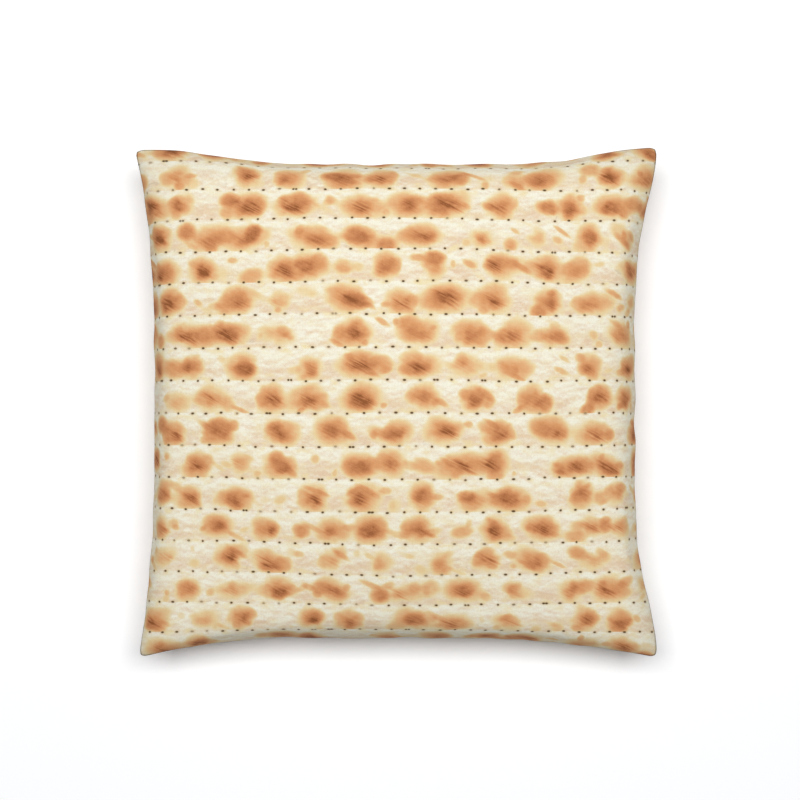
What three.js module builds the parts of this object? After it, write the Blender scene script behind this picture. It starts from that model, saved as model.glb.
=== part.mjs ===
// A square throw pillow with a printed cover, lying flat with its good side up.
//
// The cover is two nearly square panels sewn edge to edge into a knife edge, with no piping, and stuffed
// full. Each panel then swells into a low crown with steeply rolled sides. The cloth can't stretch, so the
// sides pull in between the corners, and only the corners keep nearly the full width of the cut panels.
//
// Units are millimetres. +Z is up, +X runs across the width, along the rows of the print, and +Y runs
// towards the print's top edge. The origin is the middle of the base, on the surface the pillow lies on.

import * as THREE from 'three';

// Outline of the seam, seen from above
const TIP_TO_TIP_X = 452.5; // sharp corner to sharp corner across the width
const TIP_TO_TIP_Y = 442.2; // sharp corner to sharp corner from bottom to top
// Each side is pulled in by pullIn at deepestAt, a place from -1 to 1 between its tips. A higher flatness
// keeps the side straight for longer, and a higher easing turns it gently back towards its tips.
const SIDES = {
  left: { pullIn: 17.9, deepestAt: -0.08, flatness: 2.9, easing: 1 },
  right: { pullIn: 21.1, deepestAt: 0.03, flatness: 4.2, easing: 1.75 },
  top: { pullIn: 15.1, deepestAt: 0.07, flatness: 4.2, easing: 1.9 },
  bottom: { pullIn: 18.2, deepestAt: -0.1, flatness: 3, easing: 1 },
};
const TIP_ROUNDING = 3; // how far a turned corner stays short of a sharp one, each way
const TIP_SHARPNESS = 20; // a higher power keeps the rounding closer to the tip
const SHORT_TIPS = { topLeftY: 1.5, bottomLeftX: 2.6 }; // two of the tips stick out less than the others
const SHORT_REACH = 8; // a higher power keeps that shortness closer to the tip

// Height of the two panels
const CROWN = 60; // top of the upper panel above the seam
const BELLY = 60; // depth that the lower panel would have below the seam if nothing pressed on it
const PRESSED = 56; // depth left where the pillow's weight presses the lower panel flat
const SWELL_FLATNESS = 2.1; // a higher power makes a flatter middle
const SWELL_STEEPNESS = 0.65; // a lower power makes a steeper side
const TIP_DROOP = 6; // the empty corners hang this much below the rest of the seam
const DROOP_REACH = 6; // a higher power keeps the droop closer to the corners

// Mesh of one panel
const CELLS = 32; // along each side, an even number
const EDGE_CROWDING = 0.75; // 0 spaces the cells evenly, 1 crowds them towards the seam

const COVER_COLOUR = 0xe4caa2;
const COVER_ROUGHNESS = 0.9;

/** How far a side is pulled in at t, which runs from -1 to 1 between its tips. */
function pull({ pullIn, deepestAt, flatness, easing }, t) {
  const reach = t > deepestAt ? 1 - deepestAt : 1 + deepestAt;
  return pullIn * Math.pow(1 - Math.pow(Math.abs(t - deepestAt) / reach, flatness), easing);
}

/** How far a panel has swelled at t, from 1 in the middle to 0 at the seams. */
function swell(t) {
  return Math.pow(1 - Math.pow(Math.abs(t), SWELL_FLATNESS), SWELL_STEEPNESS);
}

/** Place of a grid line from -1 to 1, where the lines crowd towards the seams. */
function gridLine(step) {
  const even = (2 * step) / CELLS - 1;
  return (1 - EDGE_CROWDING) * even + EDGE_CROWDING * Math.sin((even * Math.PI) / 2);
}

/** A point of the cover, where u and v run from -1 to 1. side is 1 above the seam and -1 below it. */
function coverPoint(u, v, side) {
  const sideX = u > 0 ? SIDES.right : SIDES.left;
  const sideY = v > 0 ? SIDES.top : SIDES.bottom;
  const towardsTip = Math.abs(u * v);
  const rounding = TIP_ROUNDING * Math.pow(towardsTip, TIP_SHARPNESS);
  const shortness = Math.pow(towardsTip, SHORT_REACH);
  const shortX = u < 0 && v < 0 ? SHORT_TIPS.bottomLeftX * shortness : 0;
  const shortY = u < 0 && v > 0 ? SHORT_TIPS.topLeftY * shortness : 0;
  const halfX = TIP_TO_TIP_X / 2 - pull(sideX, v) - rounding - shortX;
  const halfY = TIP_TO_TIP_Y / 2 - pull(sideY, u) - rounding - shortY;

  const droop = TIP_DROOP * Math.pow(towardsTip, DROOP_REACH);
  const full = swell(u) * swell(v);
  const offset = side > 0 ? CROWN * full : -Math.min(BELLY * full, PRESSED);
  return new THREE.Vector3(u * halfX, v * halfY, offset - droop);
}

/** The closed cover: two square grids that share the points of the seam. */
function coverGeometry() {
  const positions = [];
  const indexOf = new Map();

  function pointIndex(i, j, side) {
    const onSeam = i === 0 || i === CELLS || j === 0 || j === CELLS;
    const key = `${i},${j},${onSeam ? 0 : side}`;
    if (!indexOf.has(key)) {
      indexOf.set(key, positions.length / 3);
      positions.push(...coverPoint(gridLine(i), gridLine(j), side));
    }
    return indexOf.get(key);
  }

  const triangles = [];
  for (const side of [1, -1]) {
    for (let i = 0; i < CELLS; i += 1) {
      for (let j = 0; j < CELLS; j += 1) {
        const a = pointIndex(i, j, side);
        const b = pointIndex(i + 1, j, side);
        const c = pointIndex(i + 1, j + 1, side);
        const d = pointIndex(i, j + 1, side);
        // Each diagonal points at the nearest corner, so that no triangle has all three points on the seam
        const risesToTip = i < CELLS / 2 === j < CELLS / 2;
        const halves = risesToTip ? [a, b, c, a, c, d] : [a, b, d, b, c, d];
        triangles.push(...(side > 0 ? halves : halves.reverse()));
      }
    }
  }

  const geometry = new THREE.BufferGeometry();
  geometry.setAttribute('position', new THREE.Float32BufferAttribute(positions, 3));
  geometry.setIndex(triangles);
  return geometry;
}

/** Moves a geometry so that the middle of its base is the origin. */
function standOnOrigin(geometry) {
  geometry.computeBoundingBox();
  const { min, max } = geometry.boundingBox;
  geometry.translate(-(min.x + max.x) / 2, -(min.y + max.y) / 2, -min.z);
  geometry.computeVertexNormals();
  return geometry;
}

function printedCover() {
  const material = new THREE.MeshStandardMaterial({
    color: COVER_COLOUR,
    roughness: COVER_ROUGHNESS,
    metalness: 0,
  });
  const mesh = new THREE.Mesh(standOnOrigin(coverGeometry()), material);
  mesh.name = 'pillow';
  return mesh;
}

const throwPillow = new THREE.Group();
throwPillow.add(printedCover());

export default throwPillow;
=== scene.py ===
# %% [markdown]
# # A printed throw pillow
#
# The object is a square throw pillow. Two printed panels are sewn edge to edge into a knife edge, with no
# piping, and stuffed full of fibre. It lies flat, good side up.
#
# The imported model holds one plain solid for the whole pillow. This lesson keeps that solid's size and
# place, and replaces it with a sewn cover that is inflated like cloth and printed with shader nodes.

# %% The frame
import math

import bmesh
import bpy
import numpy as np
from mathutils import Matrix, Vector, noise


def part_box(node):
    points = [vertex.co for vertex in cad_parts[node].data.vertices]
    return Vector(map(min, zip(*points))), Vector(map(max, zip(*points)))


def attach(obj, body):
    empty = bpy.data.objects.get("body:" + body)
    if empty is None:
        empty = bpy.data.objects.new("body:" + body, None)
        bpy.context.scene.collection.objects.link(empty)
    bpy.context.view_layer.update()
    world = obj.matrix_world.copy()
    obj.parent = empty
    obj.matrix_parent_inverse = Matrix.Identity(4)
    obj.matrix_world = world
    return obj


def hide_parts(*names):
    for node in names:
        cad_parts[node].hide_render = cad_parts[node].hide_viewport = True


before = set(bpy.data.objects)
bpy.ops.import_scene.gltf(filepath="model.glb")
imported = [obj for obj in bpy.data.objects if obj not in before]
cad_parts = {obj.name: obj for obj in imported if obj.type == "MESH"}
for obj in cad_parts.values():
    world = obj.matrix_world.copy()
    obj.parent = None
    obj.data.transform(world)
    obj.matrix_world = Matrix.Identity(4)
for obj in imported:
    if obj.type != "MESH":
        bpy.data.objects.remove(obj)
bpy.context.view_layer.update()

low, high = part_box("pillow")
print("the solid pillow measures", [round(value, 4) for value in Vector(high) - Vector(low)], "m")

# %% [markdown]
# ## The camera
#
# The pillow is seen from straight above, with the top of its print at the top of the picture. A camera
# close by would show the crown larger than the corners. A long lens from further off keeps that small, so
# the camera hangs well over a metre above the floor.
#
# The lens isn't guessed: it is worked out from how much of the picture the pillow fills.

# %% Hang the camera over the pillow
CAMERA_HEIGHT = 1.45
SEAM_HEIGHT = 0.056  # where the pillow is widest
SENSOR_WIDTH = 36.0
PICTURE_PIXELS = 800  # along each side of a square picture
PILLOW_PIXELS = 518.5
PILLOW_MIDDLE_PIXELS = (396.4, 402.0)

pillow_width = high[0] - low[0]
picture_width = pillow_width * PICTURE_PIXELS / PILLOW_PIXELS

camera = bpy.data.cameras.new("camera")
camera.sensor_width = SENSOR_WIDTH
camera.lens = SENSOR_WIDTH * (CAMERA_HEIGHT - SEAM_HEIGHT) / picture_width
camera.shift_x = 0.5 - PILLOW_MIDDLE_PIXELS[0] / PICTURE_PIXELS
camera.shift_y = PILLOW_MIDDLE_PIXELS[1] / PICTURE_PIXELS - 0.5
camera_object = bpy.data.objects.new("camera", camera)
camera_object.location = (0, 0, CAMERA_HEIGHT)
bpy.context.scene.collection.objects.link(camera_object)
bpy.context.scene.camera = camera_object
print("lens", round(camera.lens, 1), "mm")

# %% [markdown]
# ## Floor and light
#
# A wide, shallow light hangs high up, a little towards the top of the print. It lights the crown almost
# evenly, and a soft shadow falls below the bottom edge. The world fills the shadows. It is faintly blue,
# because the cloth throws a warm tint on the floor beside it. The floor is brighter than the cloth, so it
# turns plain white away from the pillow.

# %% Lay the floor
def plain_material(name, colour, roughness):
    """A plain material of one colour, for what isn't part of the pillow."""
    material = bpy.data.materials.new(name)
    material.use_nodes = True
    shader = material.node_tree.nodes["Principled BSDF"]
    shader.inputs["Base Color"].default_value = (*colour, 1)
    shader.inputs["Roughness"].default_value = roughness
    return material


FLOOR_SIZE = 8.0
FLOOR_WHITE = (0.985, 0.985, 0.985)

floor_shape = bmesh.new()
bmesh.ops.create_grid(floor_shape, x_segments=1, y_segments=1, size=FLOOR_SIZE / 2)
floor_mesh = bpy.data.meshes.new("floor")
floor_shape.to_mesh(floor_mesh)
floor_shape.free()
floor = bpy.data.objects.new("floor", floor_mesh)
floor_mesh.materials.append(plain_material("floor_white", FLOOR_WHITE, roughness=1.0))
bpy.context.scene.collection.objects.link(floor)
print("floor", FLOOR_SIZE, "m square")

# %% Hang the light
WORLD_LIGHT = 0.18
WORLD_COLOUR = (0.92, 0.98, 1.07)


def soft_light(name, place, width, depth, power):
    """A flat light that faces the pillow."""
    lamp = bpy.data.lights.new(name, "AREA")
    lamp.shape = "RECTANGLE"
    lamp.size = width
    lamp.size_y = depth
    lamp.energy = power
    lamp_object = bpy.data.objects.new(name, lamp)
    lamp_object.location = place
    lamp_object.rotation_euler = (-Vector(place)).to_track_quat("-Z", "Y").to_euler()
    bpy.context.scene.collection.objects.link(lamp_object)


world = bpy.data.worlds.new("world")
world.use_nodes = True
background = world.node_tree.nodes["Background"]
background.inputs["Color"].default_value = (*WORLD_COLOUR, 1)
background.inputs["Strength"].default_value = WORLD_LIGHT
bpy.context.scene.world = world
bpy.context.scene.view_settings.view_transform = "Standard"
soft_light("key", place=(0.0, 0.68, 3.0), width=2.9, depth=1.2, power=102)
print("world light", WORLD_LIGHT)

# %% [markdown]
# ## The cover's form
#
# A stuffed square pillow isn't a box or a ball. Its panels are flat squares that can't stretch, so when
# the filling lifts their middles, their sides have to come closer together. The corners hold little
# filling, stay thin and keep the full width.
#
# A sphere or a cube pushed about with proportional editing would get the outline but not the cloth: the
# print would stretch. Here each panel stays a flat grid in the cloth's own measure, and a formula lifts it
# into shape so that each thread keeps its length. The print can then be laid on by the flat grid.

# %% Sizes of the cover, in metres
PANEL_X = 0.450
PANEL_Y = 0.440
HALF_WAIST_X = 0.2067
HALF_WAIST_Y = 0.2045
CROWN = high[2] - low[2] - SEAM_HEIGHT
SLACK = 0.92  # share of the crown that the cover has before it is filled
print("crown", round(CROWN, 4), "m above the seam")


# %% How a panel swells, and where its threads go
CELLS = 100  # along each side of a panel
SWELL_FLATNESS = 2.1  # a higher power makes a flatter middle
SWELL_STEEPNESS = 0.65  # a lower power makes a steeper side
SECTION_STEPS = 2000  # to measure the length of a section along


def swell(t):
    """How far a panel has swelled at t, from 1 in the middle to 0 at the seams."""
    return (1 - np.abs(t) ** SWELL_FLATNESS) ** SWELL_STEEPNESS


def threads(crown, half):
    """Where evenly spaced threads cross a section of this crown, from -1 to 1 of its half width."""
    t = np.sin(np.linspace(-math.pi / 2, math.pi / 2, SECTION_STEPS + 1))
    steps = np.hypot(np.diff(half * t), np.diff(crown * swell(t)))
    length = np.concatenate([[0], np.cumsum(steps)]) / steps.sum()
    return np.interp(np.linspace(0, 1, CELLS + 1), length, t)


middle_threads = threads(CROWN, HALF_WAIST_X)
across_threads = np.array([threads(CROWN * swell(v), HALF_WAIST_X) for v in middle_threads])
along_threads = np.array([threads(CROWN * swell(u), HALF_WAIST_Y) for u in middle_threads])
print("threads at the seam are", round(middle_threads[-1] - middle_threads[-2], 4), "of a half width apart")

# %% [markdown]
# No side of a stuffed pillow curves quite like another. Each has its own depth, its own deepest place, and
# its own way of turning out towards the tips, and two of the tips stick out less than the others.
#
# The simulation below pulls the sides in further as the cover fills, so here they start that much wider.

# %% The outline of the seam
HALF_X = 0.2264  # from the middle to a sharp tip
HALF_Y = 0.2212
PULLED_BY_FILLING = 0.007
SIDES = {
    "left": {"pull_in": 0.0190, "deepest_at": -0.08, "flatness": 2.9, "easing": 1.0},
    "right": {"pull_in": 0.0214, "deepest_at": 0.03, "flatness": 5.2, "easing": 3.2},
    "top": {"pull_in": 0.0167, "deepest_at": 0.10, "flatness": 5.2, "easing": 4.2},
    "bottom": {"pull_in": 0.0190, "deepest_at": -0.10, "flatness": 3.2, "easing": 1.25},
}
TIP_RADIUS = 0.007
TOP_LEFT_SHORT = 0.0026
BOTTOM_LEFT_SHORT = 0.0034
SHORT_REACH = 8  # a higher power keeps the shortness closer to the tip
TIP_DROOP = 0.006
DROOP_REACH = 6  # a higher power keeps the droop closer to the tips


def pull(side, t):
    """How far an unfilled side is pulled in at t, which runs from -1 to 1 between its tips."""
    form = SIDES[side]
    middle = form["deepest_at"]
    run = (t - middle) / (1 - middle) if t > middle else (middle - t) / (1 + middle)
    return (form["pull_in"] - PULLED_BY_FILLING) * (1 - min(run, 1) ** form["flatness"]) ** form["easing"]


def round_tip(x, y, half_x, half_y):
    """Moves a place near a square tip so that the tip turns in an arc."""
    a = max(abs(x) - half_x + TIP_RADIUS, 0) / TIP_RADIUS
    b = max(abs(y) - half_y + TIP_RADIUS, 0) / TIP_RADIUS
    inwards_x = TIP_RADIUS * a * (1 - math.sqrt(1 - b * b / 2))
    inwards_y = TIP_RADIUS * b * (1 - math.sqrt(1 - a * a / 2))
    return x - math.copysign(inwards_x, x), y - math.copysign(inwards_y, y)


def formed_place(i, j, side):
    """The swelled place of thread crossing i, j of the upper panel (side 1) or the lower one (side -1)."""
    u = across_threads[j, i]
    v = along_threads[i, j]
    towards_tip = abs(u * v)
    half_x = HALF_X - pull("right" if u > 0 else "left", v)
    half_y = HALF_Y - pull("top" if v > 0 else "bottom", u)
    if u < 0 and v < 0:
        half_x -= BOTTOM_LEFT_SHORT * towards_tip**SHORT_REACH
    if u < 0 and v > 0:
        half_y -= TOP_LEFT_SHORT * towards_tip**SHORT_REACH
    rise = side * (SLACK * CROWN) * swell(u) * swell(v)
    droop = TIP_DROOP * towards_tip**DROOP_REACH
    x, y = round_tip(u * half_x, v * half_y, half_x, half_y)
    return Vector((x, y, SEAM_HEIGHT + rise - droop))


print("left side pulled in", round(pull("left", 0), 4), "m before filling")

# %% [markdown]
# ## Cut and sew
#
# Both panels start as flat grids one unit square. Each carries a UV map called Print, which is the cloth's
# own flat measure: 0 to 1 across the good panel and 1 to 2 across the back one, so the back gets its own
# stretch of the print. A second map, OFBake, lays both panels side by side in one square, for any tool that
# needs the whole cover on one sheet.
#
# Sewing is a merge of the two rims. The maps are kept on the corners of the faces, so they survive it. The
# rim's edges are creased, so that the smoothing at the end keeps the seam sharp.


# %% Cut two panels
SEWN_WITHIN = 1e-5


def lay_maps(shape, faces, back):
    """Writes both maps of a flat panel's faces."""
    print_map = shape.loops.layers.uv["Print"]
    sheet_map = shape.loops.layers.uv["OFBake"]
    for face in faces:
        for corner in face.loops:
            s = corner.vert.co.x + 0.5
            t = corner.vert.co.y + 0.5
            corner[print_map].uv = (s + back, t)
            corner[sheet_map].uv = ((s + back) / 2, t)


cover_shape = bmesh.new()
cover_shape.loops.layers.uv.new("Print")
cover_shape.loops.layers.uv.new("OFBake")
side_of = cover_shape.verts.layers.int.new("side")
bmesh.ops.create_grid(cover_shape, x_segments=CELLS, y_segments=CELLS, size=0.5)
upper = list(cover_shape.faces)
copied = bmesh.ops.duplicate(cover_shape, geom=cover_shape.verts[:] + cover_shape.edges[:] + upper)
lower = [part for part in copied["geom"] if isinstance(part, bmesh.types.BMFace)]
lay_maps(cover_shape, upper, 0)
lay_maps(cover_shape, lower, 1)
for face in upper:
    for vert in face.verts:
        vert[side_of] = 1
for face in lower:
    for vert in face.verts:
        vert[side_of] = -1
bmesh.ops.reverse_faces(cover_shape, faces=lower)
print(len(upper), "cells in each panel")


# %% Sew them
def on_rim(vert):
    """Whether a point of the flat panels lies on their rim."""
    return max(abs(vert.co.x), abs(vert.co.y)) > 0.5 - SEWN_WITHIN


rim = [vert for vert in cover_shape.verts if on_rim(vert)]
bmesh.ops.remove_doubles(cover_shape, verts=rim, dist=SEWN_WITHIN)
crease = cover_shape.edges.layers.float.new("crease_edge")
for edge in cover_shape.edges:
    if on_rim(edge.verts[0]) and on_rim(edge.verts[1]):
        edge[crease] = 1
cover_shape.verts.index_update()
flat_places = [vert.co.copy() for vert in cover_shape.verts]
cells = [(round((flat.x + 0.5) * CELLS), round((flat.y + 0.5) * CELLS)) for flat in flat_places]
sides = [vert[side_of] for vert in cover_shape.verts]
print("open edges after sewing:", sum(edge.is_boundary for edge in cover_shape.edges))

# %% Lift the panels into shape
for vert, (i, j), side in zip(cover_shape.verts, cells, sides):
    vert.co = formed_place(i, j, side)
cover_mesh = bpy.data.meshes.new("pillow_cover")
cover_shape.to_mesh(cover_mesh)
formed_volume = cover_shape.calc_volume()
cover_shape.free()
cover = bpy.data.objects.new("pillow_cover", cover_mesh)
bpy.context.scene.collection.objects.link(cover)
print("formed volume", round(formed_volume * 1000, 2), "litres")

# %% [markdown]
# ## Fill it
#
# Blender's Cloth with pressure does the rest. The cover starts a little slack, and the pressure grows until
# it holds the volume of a well stuffed pillow. That rounds the panels just above the seam and draws the
# sides in between the tips, as filling does. Gravity is off, because in a real pillow the filling carries
# the weight, not air. No point may end far from where the formula put it, which keeps the outline true.
#
# The tips stay where the formula put them. Left free, the last few points there would be drawn inwards, and
# the tip would look cut off.


# %% The simulation
FILLED_LITRES = 12.75
FILL_FRAMES = 24
MOST_MOVED = 0.016
TIP_HOLD = 16  # a higher power holds less of the cover round each tip
TINY = 1e-9  # keeps the sum below from dividing by zero


def places_of(mesh):
    """The mesh's points as an array."""
    places = np.empty(len(mesh.vertices) * 3)
    mesh.vertices.foreach_get("co", places)
    return places.reshape(-1, 3)


def fill_cover(piece):
    """Runs the cloth for a while and returns where its points end."""
    cloth = piece.modifiers.new("filling", "CLOTH")
    cloth.point_cache.frame_end = FILL_FRAMES
    cloth.collision_settings.use_collision = False
    cloth.settings.quality = 6
    cloth.settings.mass = 0.3
    cloth.settings.air_damping = 2
    cloth.settings.tension_stiffness = 15
    cloth.settings.compression_stiffness = 15
    cloth.settings.shear_stiffness = 5
    cloth.settings.bending_stiffness = 0.5
    cloth.settings.effector_weights.gravity = 0
    cloth.settings.use_pressure = True
    cloth.settings.use_pressure_volume = True
    cloth.settings.uniform_pressure_force = 0
    cloth.settings.pressure_factor = 10
    cloth.settings.target_volume = FILLED_LITRES / 1000
    for step in range(1, FILL_FRAMES + 1):
        bpy.context.scene.frame_set(step)
    graph = bpy.context.evaluated_depsgraph_get()
    filled = places_of(piece.evaluated_get(graph).data)
    piece.modifiers.remove(cloth)
    bpy.context.scene.frame_set(1)
    return filled


formed = places_of(cover_mesh)
flat_grid = np.array(cells) / CELLS * 2 - 1
tipness = np.abs(flat_grid[:, 0] * flat_grid[:, 1])
filled = fill_cover(cover)
moved = (filled - formed) * (1 - tipness[:, np.newaxis] ** TIP_HOLD)
distance = np.linalg.norm(moved, axis=1, keepdims=True)
kept_distance = MOST_MOVED * np.tanh(distance / MOST_MOVED)
places = formed + moved * kept_distance / np.maximum(distance, TINY)
print("cloth moved up to", round(float(distance.max()) * 1000, 1), "mm")

# %% [markdown]
# ## Puckers and lumps
#
# So far the cover is as smooth as a balloon. A sewing thread draws the cloth together a little, so small
# puckers run inwards from the seam, most of them where the sides are pulled in. The fibre inside lies in
# soft lumps. Both are smooth noise, and each point is moved along its own normal. The seam itself also
# sways up and down a little.

# %% Add puckers and lumps
PUCKER_DEPTH = 0.0016
PUCKER_WIDTH = 0.024
PUCKER_LENGTH = 0.06  # how soon a pucker changes on its way inwards
PUCKER_REACH = 0.022  # how far in the puckers die away
LUMP_HEIGHT = 0.0022
LUMP_WIDTH = 0.085
SEAM_SWAY = 0.0022
SEAM_SWAY_LENGTH = 0.15
SEAM_SWAY_REACH = 0.05

# Noise is read at a different height for each seam and each panel, so that none of them repeats another
SEAMS_APART = 9.7
PANELS_APART = 4.3
SWAY_LEVEL = 2.5


def lumpiness(s, t, width, level):
    """Noise from -1 to 1 over the flat panel, in lumps of this width."""
    return noise.noise(Vector((s * PANEL_X / width, t * PANEL_Y / width, level)))


def pucker(along, from_seam, seam_number):
    """Depth of the puckers of one seam at a place along it and a distance in from it."""
    seam_falloff = 1 - abs(2 * along - 1) ** 3
    level = seam_number * SEAMS_APART
    ripple = noise.noise(Vector((along * PANEL_X / PUCKER_WIDTH, from_seam / PUCKER_LENGTH, level)))
    return seam_falloff * ripple * math.exp(-from_seam / PUCKER_REACH)


def uneven(i, j, side):
    """How far the cover stands proud along its normal, and how far it sways up, at thread crossing i, j."""
    s = i / CELLS
    t = j / CELLS
    puckers = pucker(t, s * PANEL_X, 0) + pucker(t, (1 - s) * PANEL_X, 1)
    puckers += pucker(s, t * PANEL_Y, 2) + pucker(s, (1 - t) * PANEL_Y, 3)
    inside = 16 * s * (1 - s) * t * (1 - t)
    lump = lumpiness(s, t, LUMP_WIDTH, side * PANELS_APART)
    from_seam = min(s, t, 1 - s, 1 - t) * PANEL_X
    sway = lumpiness(s, t, SEAM_SWAY_LENGTH, SWAY_LEVEL)
    sway *= math.exp(-((from_seam / SEAM_SWAY_REACH) ** 2))
    return puckers * PUCKER_DEPTH + lump * inside * LUMP_HEIGHT, sway * SEAM_SWAY


cover_mesh.vertices.foreach_set("co", places.ravel())
cover_mesh.update()
normals = np.array([vert.normal[:] for vert in cover_mesh.vertices])
unevenness = np.array([uneven(i, j, side) for (i, j), side in zip(cells, sides)])
places = places + normals * unevenness[:, :1]
places[:, 2] += unevenness[:, 1]
print("puckers and lumps move points up to", round(float(np.abs(unevenness).max()) * 1000, 2), "mm")

# %% [markdown]
# ## Rest and smooth
#
# The pillow's weight presses its underside flat. Cutting off what lies below the floor would leave a sharp
# edge round the flat, so the height fades into the floor instead. Then one level of Subdivision Surface
# rounds off the cells of the grid.

# %% Rest it on the floor
SOFT_EDGE = 0.003


def rest_on_floor(points):
    """Presses the belly flat where it would sink below the floor, with a soft edge to the flat."""
    height = points[:, 2]
    pressed = (height + np.sqrt(height**2 + SOFT_EDGE**2)) / 2
    points[:, 2] = pressed - pressed.min()


rest_on_floor(places)
places[:, :2] -= (places[:, :2].max(axis=0) + places[:, :2].min(axis=0)) / 2
cover_mesh.vertices.foreach_set("co", places.ravel())
cover_mesh.update()
print("cover measures", np.ptp(places, axis=0).round(4), "m")

# %% Smooth it
for face in cover_mesh.polygons:
    face.use_smooth = True
smoother = cover.modifiers.new("smooth", "SUBSURF")
smoother.levels = 1
smoother.render_levels = 1
print("smoothed", len(cover_mesh.polygons), "faces")

# %% [markdown]
# ## The print
#
# The cover is printed all over with toasted flatbread: rows of puffed dough between lines of small holes,
# each row with brown spots where a bubble touched the oven. A picture could be laid on the cloth, but
# nodes do it at any scale and give the back a stretch of its own.
#
# Every part of the print is a number that varies over the cloth, such as how toasted a point is. The
# helpers below wire nodes to such numbers, so that the print can be written as sums.

# %% Start the cloth's material
cloth_material = bpy.data.materials.new("printed_cover")
cloth_material.use_nodes = True
cloth_nodes = cloth_material.node_tree.nodes
cloth_links = cloth_material.node_tree.links
cloth_shader = cloth_nodes["Principled BSDF"]


def add_node(kind, **settings):
    """A new node of the cloth's material."""
    made = cloth_nodes.new(kind)
    for name, value in settings.items():
        setattr(made, name, value)
    return made


def feed(socket, value):
    """Gives a socket a varying number, or a fixed value."""
    if isinstance(value, Varying):
        cloth_links.new(value.socket, socket)
    else:
        socket.default_value = value


class Varying:
    """A value that varies over the cloth. Python's own signs extend its chain of nodes."""

    def __init__(self, socket):
        self.socket = socket

    def __add__(self, other):
        return maths("ADD", self, other)

    def __sub__(self, other):
        return maths("SUBTRACT", self, other)

    def __rsub__(self, other):
        return maths("SUBTRACT", other, self)

    def __mul__(self, other):
        return maths("MULTIPLY", self, other)

    def __truediv__(self, other):
        return maths("DIVIDE", self, other)

    __radd__ = __add__


def maths(operation, *values):
    """The result of a Math node."""
    made = add_node("ShaderNodeMath", operation=operation)
    for socket, value in zip(made.inputs, values):
        feed(socket, value)
    return Varying(made.outputs[0])


print("helpers for sums are ready")


# %% Helpers for patterns
def point(x, y, z=0.0):
    """Three varying numbers as one point."""
    made = add_node("ShaderNodeCombineXYZ")
    for socket, value in zip(made.inputs, (x, y, z)):
        feed(socket, value)
    return Varying(made.outputs[0])


def parts(value):
    """The three numbers of a point."""
    made = add_node("ShaderNodeSeparateXYZ")
    feed(made.inputs[0], value)
    return [Varying(socket) for socket in made.outputs]


def mottle(place, detail=2.0, roughness=0.5):
    """Soft noise, about one unit across, from -0.5 to 0.5."""
    made = add_node("ShaderNodeTexNoise", noise_dimensions="3D")
    feed(made.inputs["Vector"], place)
    made.inputs["Scale"].default_value = 1
    made.inputs["Detail"].default_value = detail
    made.inputs["Roughness"].default_value = roughness
    return Varying(made.outputs["Fac"]) - 0.5


def chances(place):
    """Three even random numbers from 0 to 1, the same wherever place is the same."""
    made = add_node("ShaderNodeTexWhiteNoise", noise_dimensions="3D")
    feed(made.inputs["Vector"], place)
    return parts(Varying(made.outputs["Color"]))


def fade(value, start, end, low=0.0, high=1.0):
    """Goes softly from low to high as value goes from start to end."""
    made = add_node("ShaderNodeMapRange", interpolation_type="SMOOTHSTEP")
    feed(made.inputs["Value"], value)
    feed(made.inputs["From Min"], start)
    feed(made.inputs["From Max"], end)
    feed(made.inputs["To Min"], low)
    feed(made.inputs["To Max"], high)
    return Varying(made.outputs[0])


def between(chance, low, high):
    """A random number from 0 to 1, spread from low to high instead."""
    return chance * (high - low) + low


def blend(colour, other, share):
    """Mixes two colours by a varying share."""
    made = add_node("ShaderNodeMix", data_type="RGBA")
    feed(made.inputs["Factor"], share)
    for socket, value in ((made.inputs[6], colour), (made.inputs[7], other)):
        feed(socket, value if isinstance(value, Varying) else (*value, 1))
    return Varying(made.outputs[2])


print("helpers for patterns are ready")

# %% [markdown]
# Places in the print are counted in millimetres of cloth: `across` from the left seam and `up` from the
# bottom seam. The lines of holes are almost straight. Between two lines lies one row, and `in_row` is the
# height above the middle of that row.
#
# Most of the print is drawn with `grain`, a noise whose blotches are measured in millimetres too. Each use
# has its own layer, which is another slice of the same noise, so that no two patterns line up.

# %% Where a point lies in the print
# Measures are in millimetres
ROW_PITCH = 26.9
LOWEST_LINE = 22.4
LINE_WANDER = 3.4

cloth_map = add_node("ShaderNodeUVMap", uv_map="Print")
map_x, map_y, _ = parts(Varying(cloth_map.outputs["UV"]))
across = map_x * (PANEL_X * 1000)
up = map_y * (PANEL_Y * 1000)


def grain(width, height, layer, detail=2.0, roughness=0.5):
    """Noise from -0.5 to 0.5, in blotches of this width and height."""
    return mottle(point(across / width, up / height, layer), detail, roughness)


wander = grain(95, 60, layer=0.0) * LINE_WANDER
lines_up = (up + wander - LOWEST_LINE) / ROW_PITCH
row = maths("FLOOR", lines_up)
row_share = maths("FRACT", lines_up)
in_row = (row_share - 0.5) * ROW_PITCH
print("rows of", ROW_PITCH, "mm")

# %% [markdown]
# ### Dough
#
# The dough is pale cream. Each row is a long puffed ridge lit from the top of the print, so its lower part
# is a warmer, pinker beige, and in places the shade starts at a wavy line. Faint straw-coloured patches lie
# over all of it, stronger yellow ones sit round the holes, and creases and floury grain run through it.
#
# The small bumps are shaded by a trick called embossing: the height of a soft noise a little way up the
# print, less its height a little way down. It is above zero where a bump faces away from the light.

# %% Colour the dough
# Every colour is in linear red, green and blue
CREAM = (0.818, 0.790, 0.660)
BEIGE = (0.704, 0.528, 0.360)
STRAW = (0.800, 0.750, 0.500)
WARM = (0.775, 0.645, 0.350)
CREASE = (0.500, 0.390, 0.280)
RELIEF_STEP = 1.1  # millimetres
ROWS_APART = 3.7  # each row reads its noise this much further on, so that no row repeats the next
RIDGE_MIDDLE = 0.46  # a share of the row's height, as is the wave
RIDGE_WAVE = 1.1

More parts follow.
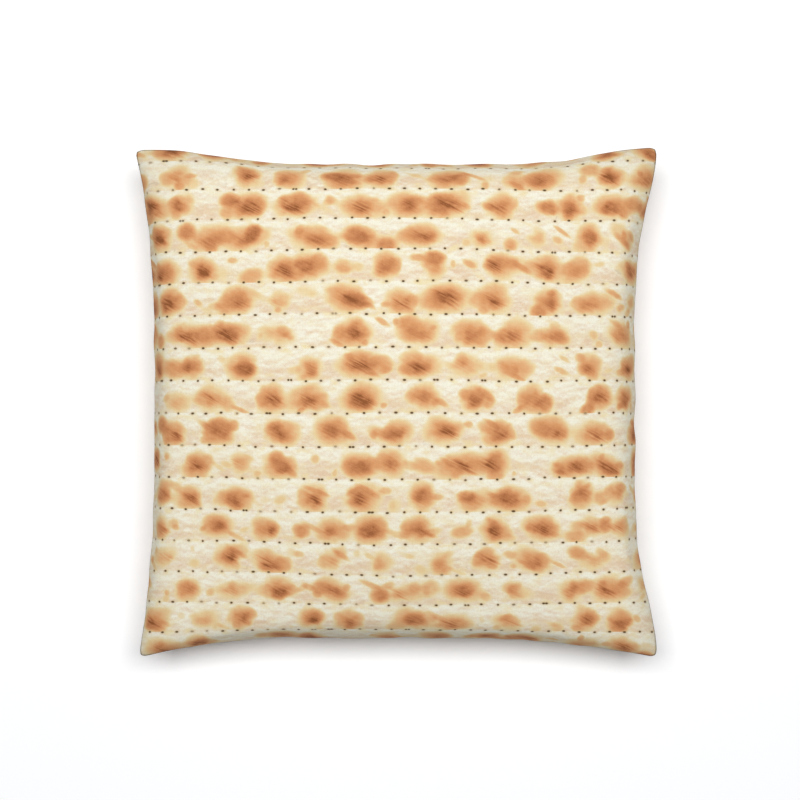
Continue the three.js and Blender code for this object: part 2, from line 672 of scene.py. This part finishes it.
# How much the soft and the sharp shade count
SOFT_SHADE = 0.70
SHARP_SHADE = 0.42

# How much each pattern turns cream into beige
SHADE_TINT = 0.80
PATCH_TINT = 0.9
GRIT_TINT = 0.85
RELIEF_TINT = 2.4
EVEN_TINT = 0.16

# How much the other colours show
STRAW_TINT = 0.24
WARM_TINT = 0.85
CREASE_TINT = 0.60
SPECK_TINT = 0.45


def puffed(x, y):
    """Height of the puffed and wrinkled dough, from -0.5 to 0.5."""
    return mottle(point(x / 12, y / 7, 70.0), detail=4, roughness=0.58)


patches = grain(8, 6, layer=4.0, detail=5, roughness=0.68)
grit = grain(1.5, 1.4, layer=60.0, detail=3, roughness=0.7)

# The shade in the lower part of each row, which comes and goes in clouds
clouds = mottle(point(across / 30, row * ROWS_APART + up / 17, 1.5), detail=4, roughness=0.6)
low_in_row = fade(row_share + patches * 0.5, 0.95, 0.10) * fade(row_share, -0.10, 0.12, 0.3, 1)
soft_shade = low_in_row * fade(clouds, -0.26, 0.14) * SOFT_SHADE

# The sharper shade below a wavy line
wave = mottle(point(across / 26, row * ROWS_APART, 81.0), detail=3, roughness=0.55)
ridge = wave * RIDGE_WAVE + RIDGE_MIDDLE
under_ridge = fade(row_share + patches * 0.16, ridge + 0.06, ridge - 0.07)
below_ridge = under_ridge * fade(row_share, -0.05, 0.40, 0.25, 1)
sharp_shade = below_ridge * fade(clouds, -0.20, 0.10) * SHARP_SHADE

shaded = soft_shade + sharp_shade
away_from_light = puffed(across, up + RELIEF_STEP) - puffed(across, up - RELIEF_STEP)
beigeness = shaded * SHADE_TINT + patches * PATCH_TINT + grit * GRIT_TINT
dough = blend(CREAM, BEIGE, beigeness + away_from_light * RELIEF_TINT + EVEN_TINT)

# Straw-coloured patches all over, and yellower ones near the lines of holes
yellowed = fade(grain(16, 9, layer=19.0, detail=3, roughness=0.6), -0.12, 0.20)
dough = blend(dough, STRAW, yellowed * STRAW_TINT)
near_line = fade(maths("ABSOLUTE", row_share - 0.5), 0.20, 0.50, 0.40, 1)
warmth = fade(grain(12, 7, layer=9.0, detail=4, roughness=0.6), -0.04, 0.20)
dough = blend(dough, WARM, warmth * near_line * WARM_TINT)

# Creases and specks
folds = maths("ABSOLUTE", mottle(point(across / 30 + up / 60, up / 10, 14.0)))
creases = fade(folds, 0.022, 0.0) * fade(grain(25, 12, layer=17.0), 0.0, 0.14) * shaded
specks = fade(grain(1.5, 1.5, layer=50.0, detail=1), 0.24, 0.36)
dough = blend(dough, CREASE, creases * CREASE_TINT + specks * SPECK_TINT)
print("dough is coloured")

# %% [markdown]
# ### Toasted spots
#
# Every spot is an ellipse of its own length, height, tilt and darkness, with a second smaller lobe on it,
# so no two look alike. The pale ones are smaller. A one-dimensional Voronoi texture along each row gives
# every spot a place and a random colour, and that colour seeds its other random numbers.
#
# A spot must stay inside its own Voronoi cell or it is cut off, so the spots are dealt out over four
# layers with wide cells that start a quarter of a cell apart. Each layer also starts many whole cells
# further on, so that it gets other random numbers.


# %% One layer of spots
SPOT_ROWS_APART = 17.31  # in cells, so that the spots of one row don't stand above those of the next


def oval(x, y, tilt, length, height):
    """Distance from an ellipse's middle, which is 1 on its rim."""
    turned = add_node("ShaderNodeVectorRotate", rotation_type="Z_AXIS", invert=True)
    feed(turned.inputs["Vector"], point(x, y))
    feed(turned.inputs["Angle"], tilt)
    shrunk = add_node("ShaderNodeVectorMath", operation="DIVIDE")
    cloth_links.new(turned.outputs[0], shrunk.inputs[0])
    feed(shrunk.inputs[1], point(length, height, 1.0))
    measured = add_node("ShaderNodeVectorMath", operation="LENGTH")
    cloth_links.new(shrunk.outputs[0], measured.inputs[0])
    return Varying(measured.outputs["Value"])


def deal_spots(x, spacing, start, scatter):
    """For the nearest spot along the row: how far right of it the point lies, and its random colour."""
    dealt = add_node("ShaderNodeTexVoronoi", voronoi_dimensions="1D")
    place = x / spacing + row * SPOT_ROWS_APART + start
    feed(dealt.inputs["W"], place)
    dealt.inputs["Scale"].default_value = 1
    dealt.inputs["Randomness"].default_value = scatter
    right = (place - Varying(dealt.outputs["W"])) * spacing
    return right, Varying(dealt.outputs["Color"])


def shifted(colour, amount):
    """The same random colour moved on by any amount, to seed further random numbers."""
    moved = add_node("ShaderNodeVectorMath", operation="ADD")
    feed(moved.inputs[0], colour)
    moved.inputs[1].default_value = (amount, amount * 2, amount * 3)
    return Varying(moved.outputs[0])


print("spots can be dealt")

# %% The edges of all spots are ragged alike
# How far the edges stray, in millimetres
EDGE_WAVES = 1.6
RAGGED_ACROSS = 11
RAGGED_UP = 7

wavy_x = across + grain(4.5, 3.5, layer=23.0, detail=1) * EDGE_WAVES
wavy_y = in_row + grain(4.5, 3.5, layer=33.0, detail=1) * EDGE_WAVES
ragged_x = wavy_x + grain(19, 15, layer=21.0, detail=1) * RAGGED_ACROSS
ragged_y = wavy_y + grain(19, 15, layer=31.0, detail=1) * RAGGED_UP

# Scorch lines lie at one slant all over the print, lower at their right-hand end
SLANT = math.radians(28)
fibre_x = across * math.cos(SLANT) - up * math.sin(SLANT)
fibre_y = across * math.sin(SLANT) + up * math.cos(SLANT)
fibres = mottle(point(fibre_x / 17, fibre_y / 1.7, 5.0), detail=2)


def together(first, second):
    """Two soft shares laid over each other, which never pass 1."""
    return first + second - first * second


print("scorch lines slant by", round(math.degrees(SLANT)), "degrees")

# %% Large spots
# Lengths and heights run from a spot's middle to its rim, in millimetres, and tilts are in radians
SPOT_SPACING = 45
SPOT_SCATTER = 0.15
LAYERS = 4
CELLS_ON = 31
SPOT_LENGTH = (10.5, 19.5)
SPOT_HEIGHT = (8.8, 11.8)
SPOT_TILT = (-0.35, 0.40)
SPOT_LIFT = (-4.4, 0.0)
LOBE_LIFT = (-3, 3)
CORE_ACROSS = (-5, 5)
CORE_LIFT = (-4.0, 0.8)
SCORCH_HEIGHT = 3.6

# Sizes of the lobe, the core and the scorch lines, as shares of the spot's own
LOBE_LENGTH = 0.55
LOBE_HEIGHT = 0.7
CORE_SIZE = 0.7
SCORCH_LENGTH = 0.6

# How much each part of a spot toasts it
BODY_TOAST = 0.53
LOBE_TOAST = 0.25
CORE_TOAST = 0.22
FIBRE_TOAST = 0.40


def main_spots(start):
    """How toasted and how scorched a point is by the large spots of one layer."""
    right, seed = deal_spots(ragged_x, SPOT_SPACING * LAYERS, start, SPOT_SCATTER)
    length_chance, height_chance, tilt_chance = chances(seed)
    lift_chance, tone_chance, lobe_chance = chances(shifted(seed, 1.7))
    scorch_chance, scorch_x, scorch_y = chances(shifted(seed, 4.1))

    tone = fade(tone_chance, -0.1, 0.5, 0.45, 1.0)
    size = fade(tone, 0.3, 0.9, 0.65, 1.0)
    length = between(length_chance * length_chance, *SPOT_LENGTH) * size
    height = between(height_chance, *SPOT_HEIGHT) * size
    tilt = between(tilt_chance, *SPOT_TILT)
    above = ragged_y - between(lift_chance, *SPOT_LIFT)

    around = oval(right, above, tilt, length, height)
    body = fade(around, 1.50, 0.80) * 0.45 + fade(around, 1.05, 0.20) * 0.55
    lobe_right = right - between(lobe_chance, -1.0, 1.0) * length
    lobe_above = above - between(scorch_y, *LOBE_LIFT)
    around_lobe = oval(lobe_right, lobe_above, tilt, length * LOBE_LENGTH, height * LOBE_HEIGHT)
    lobe = fade(around_lobe, 1.4, 0.5)
    core_right = right - between(scorch_x, *CORE_ACROSS)
    core_above = above - between(scorch_y, *CORE_LIFT)
    around_core = oval(core_right, core_above, tilt, length * CORE_SIZE, height * CORE_SIZE)
    core = fade(around_core, 1.15, 0.0)
    toast = together(body * BODY_TOAST, lobe * LOBE_TOAST) * tone
    toast = toast + core * tone * tone * (CORE_TOAST + fibres * FIBRE_TOAST)

    around_scorch = oval(core_right, above + 1, -SLANT, length * SCORCH_LENGTH + 3, SCORCH_HEIGHT)
    scorch = fade(around_scorch, 1.3, 0.2) * fade(scorch_chance, 0.35, 0.75) * fade(fibres, -0.15, 0.14)
    return toast, scorch * tone


toast, scorch = main_spots(0)
for layer in range(1, LAYERS):
    layer_toast, layer_scorch = main_spots(layer / LAYERS + layer * CELLS_ON)
    toast = together(toast, layer_toast)
    scorch = maths("MAXIMUM", scorch, layer_scorch)
print("a large spot every", SPOT_SPACING, "mm")

# %% [markdown]
# Between and over the large spots lie small pale ones of four kinds: blisters, freckles, dots and thin
# slanting streaks. They are ellipses without lobes, and some of the places dealt to them stay empty.

# %% Small spots
SMALL_SPOT_LIFT = (-11, 7)
SMALL_SPOT_SCATTER = 0.7


def small_spots(spacing, start, length, height, tilt, share, tone):
    """How toasted a point is by a layer of small spots. length, height, tilt and tone are ranges."""
    right, seed = deal_spots(wavy_x, spacing, start, SMALL_SPOT_SCATTER)
    length_chance, height_chance, tilt_chance = chances(seed)
    lift_chance, there, tone_chance = chances(shifted(seed, 2.9))
    above = wavy_y - between(lift_chance, *SMALL_SPOT_LIFT)
    spot_length = between(length_chance, *length)
    spot_height = between(height_chance, *height)
    shape = oval(right, above, between(tilt_chance, *tilt), spot_length, spot_height)
    return fade(shape, 1.5, 0.4) * between(tone_chance, *tone) * fade(there, 1 - share, 1.04 - share)


blisters = small_spots(67, 5.1, (5, 11), (4.5, 8.0), (-0.5, 0.3), share=0.85, tone=(0.12, 0.60))
freckles = small_spots(43, 3.3, (3, 8), (2.5, 5), (-0.6, 0.6), share=0.85, tone=(0.08, 0.36))
dots = small_spots(31, 6.1, (2, 6), (2, 4), (-0.6, 0.6), share=0.75, tone=(0.08, 0.30))
streaks = small_spots(47, 8.8, (6, 11), (1.8, 3.0), (-0.62, -0.35), share=0.55, tone=(0.12, 0.36))
for small in (blisters, freckles, dots, streaks):
    toast = together(toast, small)
print("small spots are laid out")

# %% Break up the toast
# How much each pattern deepens or lightens it
CLOUD_TOAST = 0.65
STREAK_TOAST = 0.30
SPECK_TOAST = 0.5
SCORCH_TOAST = 0.27

speckle = grain(1.1, 1.1, layer=2.0, roughness=0.7)
cloudy = grain(6, 5, layer=12.0, detail=4, roughness=0.6)
unevenly = 1 + cloudy * CLOUD_TOAST + fibres * STREAK_TOAST + speckle * SPECK_TOAST + specks * SPECK_TOAST
depth = toast * unevenly + scorch * SCORCH_TOAST
print("toast is laid out")

# %% [markdown]
# Toast goes from straw yellow through golden orange to brown, and scorched lines are darker still. A Color
# Ramp holds these few colours, and the first of them fades into the dough.

# %% Colour the toast
TOAST_COLOURS = (
    (0.00, (0.765, 0.670, 0.420)),
    (0.16, (0.745, 0.575, 0.308)),
    (0.32, (0.704, 0.414, 0.200)),
    (0.48, (0.646, 0.305, 0.128)),
    (0.66, (0.532, 0.218, 0.087)),
    (0.84, (0.406, 0.149, 0.055)),
    (1.00, (0.262, 0.088, 0.028)),
)

ramp_node = add_node("ShaderNodeValToRGB")
ramp = ramp_node.color_ramp
while len(ramp.elements) < len(TOAST_COLOURS):
    ramp.elements.new(0.5)
for stop, (position, colour) in zip(ramp.elements, TOAST_COLOURS):
    stop.position = position
    stop.color = (*colour, 1)
feed(ramp_node.inputs["Fac"], depth)
bread = blend(dough, Varying(ramp_node.outputs["Color"]), fade(depth, -0.02, 0.20))
print(len(TOAST_COLOURS), "shades of toast")

# %% [markdown]
# ### Holes
#
# A roller pricks the dough in straight lines. In the print each hole is a dark dash wider than it is high.
# Some are faint, and some were pricked twice: the distance from the middle of the pair is made positive, so
# that one hole stands for both. A brown rim surrounds each hole.

# %% Prick the holes
# Measures are in millimetres
HOLE_PITCH = 13.2
HOLE_HALF_WIDTH = (1.0, 1.6)
HOLE_HALF_HEIGHT = 0.95
MOST_OFF_ACROSS = 0.7
MOST_OFF_UP = 0.5
PITCH_WANDER = 0.3  # a share of the pitch
DOUBLED = (0.94, 0.95)  # holes are doubled where their random number is past these
DOUBLE_APART = 1.2  # from the middle of a pair to each of its holes
HOLE_COLOUR = (0.075, 0.036, 0.006)
HOLE_TINT = 0.94
RIM_COLOUR = (0.600, 0.420, 0.210)
RIM_TINT = 0.45

line_number = maths("FLOOR", lines_up + 0.5)
off_line = (maths("FRACT", lines_up + 0.5) - 0.5) * ROW_PITCH
line_start = chances(point(line_number, 7.0))[0]
hole_place = across / HOLE_PITCH + line_start + grain(60, 20, layer=0.0) * PITCH_WANDER
hole_number = maths("FLOOR", hole_place)
jitter_x, jitter_y, strength = chances(point(hole_number, line_number, 3.0))
doubled, width_chance, _ = chances(point(hole_number, line_number, 6.0))
off_across = between(jitter_x, -MOST_OFF_ACROSS, MOST_OFF_ACROSS)
off_middle = (maths("FRACT", hole_place) - 0.5) * HOLE_PITCH + off_across
off_hole = maths("ABSOLUTE", off_middle) - fade(doubled, *DOUBLED) * DOUBLE_APART
off_up = off_line + between(jitter_y, -MOST_OFF_UP, MOST_OFF_UP)
hole_half_width = between(width_chance, *HOLE_HALF_WIDTH)
hole_shape = oval(off_hole, off_up, 0.0, hole_half_width, HOLE_HALF_HEIGHT)
hole = fade(hole_shape, 1.35, 0.55) * fade(strength, 0.0, 0.35, 0.5, 1.0)
hole_rim = fade(hole_shape, 2.9, 0.8)

bread = blend(bread, RIM_COLOUR, hole_rim * RIM_TINT)
bread = blend(bread, HOLE_COLOUR, hole * HOLE_TINT)
print("holes every", HOLE_PITCH, "mm")

# %% [markdown]
# ### Cloth
#
# Under the print is a matt woven polyester. Its threads are too fine to see from above the pillow, but near
# to, they break up the light, so the weave is a bump: one thread over, one thread under. Uneven threads
# also tint the print a little.
#
# A broad band of painted shade darkens the cloth towards the seam, and a thin line of painted shade darkens
# the fold of the seam itself. Both are drawn from the distance to the nearest edge of the panel.

# %% Weave it
# Measures are in millimetres, apart from the depth of the weave, which is in metres
THREAD = 0.9
WEAVE_DEPTH = 0.00012
WEAVE_STRENGTH = 0.6
# How wide and how dark the painted shade near the seam is: a broad band, then a thin line at the fold
PAINTED_BAND_WIDTH = 45
PAINTED_BAND_SHADE = 0.86
SEAM_WIDTH = (0.3, 1.5)
SEAM_SHADE = 0.72
CLOTH_ROUGHNESS = 0.84
CLOTH_SHINE = 0.15
SLUB_ROUGHNESS = 0.12
SLUB_TINT = 0.10
SPECKLE_TINT = 0.25

over_x = maths("SINE", across * (math.pi / THREAD))
over_y = maths("SINE", up * (math.pi / THREAD))
weave = over_x * over_y
slubs = grain(22, 1.3, layer=40.0) + grain(1.3, 22, layer=41.0)
bump = add_node("ShaderNodeBump")
bump.inputs["Strength"].default_value = WEAVE_STRENGTH
bump.inputs["Distance"].default_value = WEAVE_DEPTH
feed(bump.inputs["Height"], weave * 0.5 + slubs)
cloth_links.new(bump.outputs["Normal"], cloth_shader.inputs["Normal"])

# The back panel's map runs from 1 to 2, so only the fraction counts
to_side = (0.5 - maths("ABSOLUTE", maths("FRACT", map_x) - 0.5)) * (PANEL_X * 1000)
to_end = (0.5 - maths("ABSOLUTE", map_y - 0.5)) * (PANEL_Y * 1000)
from_seam = maths("MINIMUM", to_side, to_end)
# Painted shade near the seam: the broad band first, then the thin line at the fold
seam_falloff = fade(from_seam, 0, PAINTED_BAND_WIDTH, PAINTED_BAND_SHADE, 1)
seam_falloff = seam_falloff * fade(from_seam, *SEAM_WIDTH, SEAM_SHADE, 1)

tint = add_node("ShaderNodeHueSaturation")
feed(tint.inputs["Value"], (1 + slubs * SLUB_TINT + speckle * SPECKLE_TINT) * seam_falloff)
feed(tint.inputs["Color"], bread)
cloth_links.new(tint.outputs["Color"], cloth_shader.inputs["Base Color"])
feed(cloth_shader.inputs["Roughness"], CLOTH_ROUGHNESS + slubs * SLUB_ROUGHNESS)
cloth_shader.inputs["Specular IOR Level"].default_value = CLOTH_SHINE
cover_mesh.materials.append(cloth_material)
print(len(cloth_nodes), "nodes in the cloth")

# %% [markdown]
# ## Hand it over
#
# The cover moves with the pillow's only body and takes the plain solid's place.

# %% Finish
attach(cover, "root")
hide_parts("pillow")
